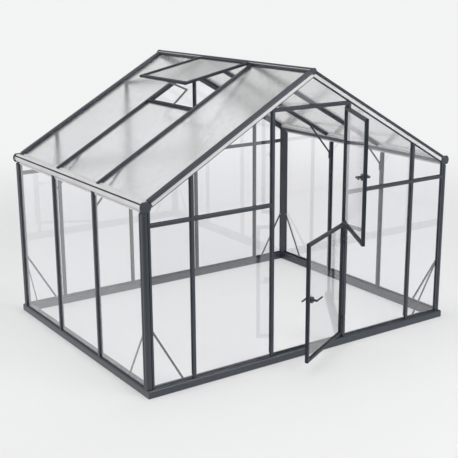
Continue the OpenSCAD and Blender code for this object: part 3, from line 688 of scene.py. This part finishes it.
class GREENHOUSE_OT_rake_strips(Operator):
    """Adds the pale strips on the gable faces of the roof edges"""
    bl_idname = "greenhouse.rake_strips"
    bl_label = "Rake Strips"

    def execute(self, context):
        p = sizes()
        for name, face, out in (("front", WALL_Y, -1), ("back", 2 * Y_MID - WALL_Y, 1)):
            made = []
            for side in (-1, 1):
                low, high = STRIP_FOOT, SLOPE_L + STRIP_PAST
                middle = slope_point(side, (low + high) / 2, face, STRIP_N)
                up = Vector((-side * math.cos(PITCH), 0, math.sin(PITCH)))
                across = Vector((side * math.sin(PITCH), 0, math.cos(PITCH)))
                strip = block((high - low, p.strip_w, 2 * p.strip_h), axes(middle, up, across), 0.0007)
                edit(strip)
                bpy.ops.mesh.bisect(plane_co=(side * 0.0004, 0, 0), plane_no=(-side, 0, 0),
                                    clear_outer=True, use_fill=True)
                bpy.ops.mesh.select_all(action="SELECT")
                bpy.ops.mesh.bisect(plane_co=(0, face + out * 0.0001, 0), plane_no=(0, -out, 0),
                                    clear_outer=True, use_fill=True)
                bpy.ops.mesh.select_all(action="SELECT")
                bpy.ops.mesh.normals_make_consistent(inside=False)
                done()
                made.append(strip)
            finish(join(made, "rake_strips_" + name), trim_paint(), "frame")
        return {"FINISHED"}


class GREENHOUSE_OT_ridge_highlights(Operator):
    """Adds grey strips along both flanks of the ridge as painted highlights"""
    bl_idname = "greenhouse.ridge_beads"
    bl_label = "Ridge Beads"

    def execute(self, context):
        p = sizes()
        made = []
        length = 2 * (Y_MID - END_Y) - HIGHLIGHT_SHORT
        for side in (-1, 1):
            lean = math.radians(HIGHLIGHT_LEAN) * side
            out = Vector((math.sin(lean), 0, math.cos(lean)))
            middle = Vector((0, Y_MID, RIDGE_AXIS_Z)) + out * (RIDGE_R + 0.0002)
            across = Vector((0, 1, 0)).cross(out)
            made.append(block((length, p.ridge_highlight_w, HIGHLIGHT_T), axes(middle, (0, 1, 0), -across), HIGHLIGHT_T / 3))
        finish(join(made, "ridge_beads"), ridge_highlight_paint(), "frame")
        return {"FINISHED"}


class GREENHOUSE_OT_wall_seals(Operator):
    """Adds the rubber seals round the panes of the four walls"""
    bl_idname = "greenhouse.wall_seals"
    bl_label = "Wall Seals"

    def execute(self, context):
        half = BAR_W / 2
        bays = ((-(WALL_X - POST_W), -MULLION_X - half), (-MULLION_X + half, -DOOR_X - half),
                (DOOR_X + half, MULLION_X - half), (MULLION_X + half, WALL_X - POST_W))
        for name, face, out in (("front", PANE_Y, -1), ("back", 2 * Y_MID - PANE_Y, 1)):
            made = []
            for x0, x1 in bays:
                for z0, top in ((SILL_TOP, TRANSOM_Z - half), (TRANSOM_Z + half, None)):
                    made.append(self.gable_ring(x0, x1, z0, top, face, out))
            door = [(HEADER_Z + half, None)]
            if name == "back":
                door += [(SILL_TOP, TRANSOM_Z - half), (TRANSOM_Z + half, HEADER_Z - half)]
            for z0, top in door:
                made.append(self.gable_ring(-DOOR_X + half, DOOR_X - half, z0, top, face, out))
            finish(join(made, "wall_seals_" + name), seal_rubber(), "frame")
        ends = ((WALL_Y + POST_W, SIDE_Y[0] - half), (SIDE_Y[0] + half, SIDE_Y[1] - half),
                (SIDE_Y[1] + half, 2 * Y_MID - WALL_Y - POST_W))
        height = EAVE_Z - GUTTER_R - SILL_TOP + SIDE_PANE_PAST
        for name, side in (("left", -1), ("right", 1)):
            made = []
            for y0, y1 in ends:
                start = y1 if side < 0 else y0
                place = axes((side * PANE_X, start, SILL_TOP), (0, side, 0), (0, 0, 1))
                made.append(seal_ring(y1 - y0, height, (), place, "high"))
            finish(join(made, "wall_seals_" + name), seal_rubber(), "frame")
        return {"FINISHED"}

    def gable_ring(self, x0, x1, z0, top, face, out):
        start = x0 if out < 0 else x1
        place = axes((start, face, z0), (-out, 0, 0), (0, 0, 1))
        if top:
            return seal_ring(x1 - x0, top - z0, (), place)
        cuts = []
        for side in (-1, 1):
            across = Vector((side * math.sin(PITCH), math.cos(PITCH)))
            apex = slope_z(0, -RAKE_LEG) - z0
            cuts.append(((-out * (0 - start), apex), (-out * across.x, across.y)))
        high = slope_z(min(abs(x0), abs(x1)) if x0 * x1 > 0 else 0, -RAKE_LEG) + 0.01
        return seal_ring(x1 - x0, high - z0, cuts, place)


class GREENHOUSE_OT_roof_seals(Operator):
    """Adds the rubber seals round the panes of both roof slopes and the vent"""
    bl_idname = "greenhouse.roof_seals"
    bl_label = "Roof Seals"

    def execute(self, context):
        half = BAR_W / 2
        low, high = GUTTER_R + 0.001, SLOPE_L - ROOF_PANE_END
        y0, y1 = ROOF_PANE_Y, 2 * Y_MID - ROOF_PANE_Y
        bays = ((y0, SIDE_Y[0] - half), (SIDE_Y[0] + half, SIDE_Y[1] - half), (SIDE_Y[1] + half, y1))
        for name, side in (("left", -1), ("right", 1)):
            made = []
            for i, (a, b) in enumerate(bays):
                top = VENT_SILL_S - half if side < 0 and i == 1 else high
                start = a if side > 0 else b
                place = axes(slope_point(side, low, start, PANE_N), (0, side, 0),
                             (-side * math.cos(PITCH), 0, math.sin(PITCH)))
                made.append(seal_ring(b - a, top - low, (), place, "low"))
            finish(join(made, "roof_seals_" + name), seal_rubber(), "frame")
        place = axes(slope_point(-1, VENT_S, Y_MID, VENT_N), (math.cos(PITCH), 0, math.sin(PITCH)), (0, 1, 0))
        place = place @ Matrix.Rotation(math.radians(VENT_OPEN), 4, "Y")
        turn = Matrix.Translation((VENT_BAR - VENT_LEN, VENT_BAR - VENT_W / 2, GLASS_T / 2))
        ring = seal_ring(VENT_LEN - 2 * VENT_BAR, VENT_W - 2 * VENT_BAR, (), place @ turn)
        finish(join([ring], "vent_seal"), seal_rubber(), "frame")
        return {"FINISHED"}


class GREENHOUSE_OT_leaf_seals(Operator):
    """Adds the rubber seals on both faces of the leaves' panes"""
    bl_idname = "greenhouse.leaf_seals"
    bl_label = "Leaf Seals"

    def execute(self, context):
        for leaf, (body, _, z0, z1) in LEAVES.items():
            made = []
            x = LEAF_X - STILE_W
            for out in (-1, 1):
                face = LEAF_Y + LEAF_T / 2 + out * GLASS_T / 2
                place = axes((out * x, face, z0 + STILE_W), (-out, 0, 0), (0, 0, 1))
                made.append(seal_ring(2 * x, z1 - z0 - 2 * STILE_W, (), opened(leaf) @ place))
            finish(join(made, leaf + "_leaf_seals"), seal_rubber(), body)
        return {"FINISHED"}


def bolt_master():
    """Six-sided bolt head on a washer, standing on the origin along +Z."""
    d = sizes().bolt_d
    start_clean()
    bpy.ops.mesh.primitive_cylinder_add(vertices=24, radius=d * 0.66, depth=0.0012, location=(0, 0, 0.0006))
    washer = bpy.context.object
    mesh = edit(washer)
    bpy.ops.mesh.select_all(action="DESELECT")
    for e in mesh.edges:
        e.select_set(all(v.co.z > 0 for v in e.verts))
    bmesh.update_edit_mesh(washer.data)
    bpy.ops.mesh.bevel(offset=0.0003, segments=1, affect="EDGES")
    done()
    start_clean()
    bpy.ops.mesh.primitive_cylinder_add(vertices=6, radius=d / 2, depth=0.004, location=(0, 0, 0.0032))
    head = bpy.context.object
    mesh = edit(head)
    bpy.ops.mesh.select_all(action="DESELECT")
    for e in mesh.edges:
        e.select_set(all(v.co.z > 0.001 for v in e.verts))
    bmesh.update_edit_mesh(head.data)
    bpy.ops.mesh.bevel(offset=0.0007, segments=2, affect="EDGES")
    done()
    for part in (washer, head):
        settle(part, Matrix())
    return join([washer, head], "bolt_master")


def screw_master():
    """Round screw head with a cross slot, standing on the origin along +Z."""
    d = sizes().screw_d
    start_clean()
    bpy.ops.mesh.primitive_cylinder_add(vertices=16, radius=d / 2, depth=0.0022, location=(0, 0, 0.0011))
    head = bpy.context.object
    mesh = edit(head)
    bpy.ops.mesh.select_all(action="DESELECT")
    for f in mesh.faces:
        f.select_set(f.normal.z > 0.9)
    bmesh.update_edit_mesh(head.data)
    bpy.ops.mesh.bevel(offset=0.0008, segments=2, affect="EDGES")
    bpy.ops.mesh.select_all(action="DESELECT")
    mesh = bmesh.from_edit_mesh(head.data)
    for f in mesh.faces:
        f.select_set(f.normal.z > 0.98)
    bmesh.update_edit_mesh(head.data)
    bpy.ops.mesh.inset(thickness=d * 0.17)
    bpy.ops.mesh.extrude_region_move(TRANSFORM_OT_translate={"value": (0, 0, -0.001)})
    done()
    return settle(head, Matrix())


def facing(point, out):
    """Matrix that puts a fastener at a point, standing along out."""
    return Matrix.Translation(point) @ Vector(out).to_track_quat("Z", "Y").to_matrix().to_4x4()


class GREENHOUSE_OT_brace_bolts(Operator):
    """Adds the bolts at the ends of the corner and knee braces"""
    bl_idname = "greenhouse.brace_bolts"
    bl_label = "Brace Bolts"

    def execute(self, context):
        places = []
        for u, z in BRACE_ENDS:
            for side in (-1, 1):
                for out, wall in ((1, WALL_Y), (-1, 2 * Y_MID - WALL_Y)):
                    gable = side * (WALL_X - POST_W - u), wall + out * BRACE_FACE, z
                    flank = side * (WALL_X - BRACE_FACE), wall + out * (POST_W + u), z
                    places += [facing(gable, (0, out, 0)), facing(flank, (-side, 0, 0))]
        for y in SIDE_Y:
            for side in (-1, 1):
                face = y + KNEE_SIDE
                for drop in KNEE_DROPS:
                    places.append(facing((side * (WALL_X - KNEE_FACE), face, EAVE_Z - drop), (0, 1, 0)))
                places.append(facing(slope_point(side, KNEE_S, face, KNEE_N), (0, 1, 0)))
        master = bolt_master()
        finish(copies(master, places, "brace_bolts"), bolt_zinc(), "frame")
        discard(master)
        return {"FINISHED"}


class GREENHOUSE_OT_hinge_screws(Operator):
    """Adds the screws of the hinge plates, on the post and on both leaves"""
    bl_idname = "greenhouse.hinge_screws"
    bl_label = "Hinge Screws"

    def execute(self, context):
        master = screw_master()
        post = []
        for leaf, (body, _, z0, z1) in LEAVES.items():
            own = []
            for foot in (z0 + HINGE_END, z1 - HINGE_END - HINGE_H):
                for dz in POST_SCREWS:
                    post.append(facing((DOOR_X, WALL_Y - HINGE_T, foot + dz), (0, -1, 0)))
                place = facing((LEAF_SCREW_X, LEAF_Y - HINGE_T, foot + LEAF_SCREW), (0, -1, 0))
                own.append(opened(leaf) @ place)
            finish(copies(master, own, leaf + "_hinge_screws"), bolt_zinc(), body)
        finish(copies(master, post, "post_hinge_screws"), bolt_zinc(), "frame")
        discard(master)
        return {"FINISHED"}


class GREENHOUSE_OT_stay_pins(Operator):
    """Adds the pins on both faces of the vent's stay"""
    bl_idname = "greenhouse.stay_pins"
    bl_label = "Stay Pins"

    def execute(self, context):
        master = screw_master()
        places = []
        for s, n in STAY_PINS:
            for out in (-1, 1):
                point = slope_point(-1, s, Y_MID - STAY_SIDE + out * STAY_HALF, n)
                places.append(facing(point, (0, out, 0)))
        finish(copies(master, places, "stay_pins"), bolt_zinc(), "frame")
        discard(master)
        return {"FINISHED"}


class GREENHOUSE_OT_stage(Operator):
    """Adds the pale floor, the soft light and the camera"""
    bl_idname = "greenhouse.stage"
    bl_label = "Stage"

    def execute(self, context):
        self.floor()
        self.light()
        self.camera(context)
        context.scene.view_settings.view_transform = "Standard"
        return {"FINISHED"}

    def seen(self, tree, toward, reach=None, height=None):
        """Share of the rays that see the plain backdrop, its strength, and which rays are gloss.

        Gloss sees the backdrop no brighter than the camera does, and dimmer on the front side of the
        room, where toward is 1. reach fades the dimming out on the floor close by, and height adds to
        it further up in the room."""
        path = node(tree, "ShaderNodeLightPath", (-1100, 500))
        mirrored, refracted = path.outputs["Is Glossy Ray"], path.outputs["Is Transmission Ray"]
        first = maths(tree, (-900, 500), "MAXIMUM", path.outputs["Is Camera Ray"], refracted)
        both = maths(tree, (-700, 500), "MAXIMUM", first, mirrored)
        gloss = maths(tree, (-900, 700), "SUBTRACT", mirrored, refracted, clamp=True)
        side = ramp(tree, (-700, 300), toward, (0.3, 1.0), (0.80, -0.85), smooth=True)
        lift = maths(tree, (-500, 200), "MULTIPLY_ADD", side, reach or 1.0, height or 0.28)
        dimming = node(tree, "ShaderNodeClamp", (-350, 200), Min=-0.75, Max=0.0)
        link(tree, lift, dimming.inputs["Value"])
        strength = maths(tree, (-200, 300), "MULTIPLY_ADD", gloss, dimming.outputs[0], 1.0)
        return both, strength, gloss

    def toward_front(self, tree, place):
        """1 where a place or direction lies in front, less to the right and -1 on the far side."""
        flat = node(tree, "ShaderNodeVectorMath", (-1300, 200), operation="MULTIPLY")
        flat.inputs[1].default_value = (1, 1, 0)
        link(tree, place, flat.inputs[0])
        even = node(tree, "ShaderNodeVectorMath", (-1150, 200), operation="NORMALIZE")
        link(tree, flat.outputs["Vector"], even.inputs[0])
        ahead = node(tree, "ShaderNodeVectorMath", (-1000, 300), operation="DOT_PRODUCT")
        ahead.inputs[1].default_value = (-0.35, -0.937, 0)
        link(tree, even.outputs["Vector"], ahead.inputs[0])
        right = node(tree, "ShaderNodeVectorMath", (-1000, 100), operation="DOT_PRODUCT")
        right.inputs[1].default_value = (0.80, -0.15, 0)
        link(tree, even.outputs["Vector"], right.inputs[0])
        return maths(tree, (-850, 200), "MAXIMUM", ahead.outputs["Value"], right.outputs["Value"])

    def floor(self):
        start_clean()
        bpy.ops.mesh.primitive_circle_add(vertices=96, radius=FLOOR_R, fill_type="NGON",
                                         location=(0, Y_MID, 0))
        floor = bpy.context.object
        floor.name = "stage_floor"
        bpy.ops.object.transform_apply(location=True, rotation=True, scale=True)
        made = bpy.data.materials.new("stage_floor")
        made.use_nodes = True
        tree = made.node_tree
        tree.nodes.clear()
        out = node(tree, "ShaderNodeOutputMaterial", (600, 0))
        where = node(tree, "ShaderNodeTexCoord", (-1700, -200))
        centre = node(tree, "ShaderNodeMapping", (-1500, -200))
        centre.inputs["Location"].default_value = (0, -Y_MID, 0)
        link(tree, where.outputs["Object"], centre.inputs["Vector"])
        far = node(tree, "ShaderNodeVectorMath", (-500, -200), operation="LENGTH")
        link(tree, centre.outputs["Vector"], far.inputs[0])
        fade = ramp(tree, (-300, -200), far.outputs["Value"], (2.6, 9.0), (0.30, 1.0), smooth=True)
        reach = ramp(tree, (-700, 50), far.outputs["Value"], (2.0, 4.5), smooth=True)
        toward = self.toward_front(tree, centre.outputs["Vector"])
        share, strength, gloss = self.seen(tree, toward, reach)
        full = maths(tree, (-200, 100), "MULTIPLY", share, fade)
        show = maths(tree, (-50, 100), "MAXIMUM", full, gloss)
        matt = node(tree, "ShaderNodeBsdfDiffuse", (100, 100), Color=colours().floor)
        glow = node(tree, "ShaderNodeEmission", (100, -100), Color=colours().floor)
        link(tree, strength, glow.inputs["Strength"])
        both = node(tree, "ShaderNodeMixShader", (350, 0))
        link(tree, show, both.inputs[0])
        link(tree, matt.outputs[0], both.inputs[1])
        link(tree, glow.outputs[0], both.inputs[2])
        link(tree, both.outputs[0], out.inputs["Surface"])
        floor.data.materials.append(made)

    def light(self):
        world = bpy.data.worlds.new("studio")
        bpy.context.scene.world = world
        world.use_nodes = True
        tree = world.node_tree
        tree.nodes.clear()
        out = node(tree, "ShaderNodeOutputWorld", (400, 0))
        where = node(tree, "ShaderNodeTexCoord", (-1500, 200))
        toward = self.toward_front(tree, where.outputs["Generated"])
        split = node(tree, "ShaderNodeSeparateXYZ", (-1300, 0))
        link(tree, where.outputs["Generated"], split.inputs["Vector"])
        height = ramp(tree, (-1000, 0), split.outputs["Z"], (0.02, 0.40), (-0.2, -1.3), smooth=True)
        share, strength, _ = self.seen(tree, toward, height=height)
        dim = ramp(tree, (-400, 100), toward, (0.2, 1.0), (0.62, 0.30), smooth=True)
        glow = node(tree, "ShaderNodeBackground", (-100, 100), Color=(1, 1, 1, 1))
        link(tree, dim, glow.inputs["Strength"])
        back = node(tree, "ShaderNodeBackground", (-100, -100), Color=colours().floor)
        link(tree, strength, back.inputs["Strength"])
        both = node(tree, "ShaderNodeMixShader", (150, 0))
        link(tree, share, both.inputs[0])
        link(tree, glow.outputs[0], both.inputs[1])
        link(tree, back.outputs[0], both.inputs[2])
        link(tree, both.outputs[0], out.inputs["Surface"])
        for name, place, size, power in LAMPS:
            lamp = bpy.data.lights.new(name, "AREA")
            lamp.size, lamp.energy = size, power
            holder = bpy.data.objects.new(name, lamp)
            holder.location = place
            aim = Vector((0, Y_MID, AIM_Z)) - Vector(place)
            holder.rotation_euler = aim.to_track_quat("-Z", "Y").to_euler()
            bpy.context.scene.collection.objects.link(holder)

    def camera(self, context):
        view = bpy.data.cameras.new("camera")
        view.lens, view.sensor_width, view.sensor_fit = CAMERA_LENS, CAMERA_SENSOR, "HORIZONTAL"
        holder = bpy.data.objects.new("camera", view)
        az, el, roll = (math.radians(a) for a in CAMERA_TURN)
        ahead = Vector((-math.sin(az) * math.cos(el), math.cos(az) * math.cos(el), -math.sin(el)))
        right = ahead.cross(Vector((0, 0, 1))).normalized()
        up = right.cross(ahead)
        turned = math.cos(roll) * right + math.sin(roll) * up
        upright = -math.sin(roll) * right + math.cos(roll) * up
        turn = Matrix((turned, upright, -ahead)).transposed().to_4x4()
        holder.matrix_world = Matrix.Translation(CAMERA_PLACE) @ turn
        context.scene.collection.objects.link(holder)
        context.scene.camera = holder


STEPS = ("coat_frame", "coat_gutters", "glaze", "handles", "rake_strips", "ridge_beads", "wall_seals",
         "roof_seals", "leaf_seals", "brace_bolts", "hinge_screws", "stay_pins", "stage")


class GREENHOUSE_PT_dressing(Panel):
    """Lists the steps and the values that they use"""
    bl_idname = "GREENHOUSE_PT_dressing"
    bl_label = "Greenhouse"
    bl_space_type = "VIEW_3D"
    bl_region_type = "UI"
    bl_category = "Greenhouse"

    def draw(self, context):
        for step in STEPS:
            self.layout.operator("greenhouse." + step)
        for values in (context.scene.greenhouse_sizes, context.scene.greenhouse_colours):
            for name in values.__annotations__:
                self.layout.prop(values, name)


CLASSES = (
    GreenhouseSizes, GreenhouseColours, GREENHOUSE_OT_coat_frame, GREENHOUSE_OT_coat_gutters,
    GREENHOUSE_OT_glaze, GREENHOUSE_OT_handles, GREENHOUSE_OT_rake_strips, GREENHOUSE_OT_ridge_highlights,
    GREENHOUSE_OT_wall_seals, GREENHOUSE_OT_roof_seals, GREENHOUSE_OT_leaf_seals, GREENHOUSE_OT_brace_bolts,
    GREENHOUSE_OT_hinge_screws, GREENHOUSE_OT_stay_pins, GREENHOUSE_OT_stage, GREENHOUSE_PT_dressing,
)


def register():
    for made in CLASSES:
        bpy.utils.register_class(made)
    bpy.types.Scene.greenhouse_sizes = PointerProperty(type=GreenhouseSizes)
    bpy.types.Scene.greenhouse_colours = PointerProperty(type=GreenhouseColours)


def unregister():
    del bpy.types.Scene.greenhouse_colours
    del bpy.types.Scene.greenhouse_sizes
    for made in reversed(CLASSES):
        bpy.utils.unregister_class(made)


def main():
    register()
    for step in STEPS:
        getattr(bpy.ops.greenhouse, step)()


if __name__ == "__main__":
    main()
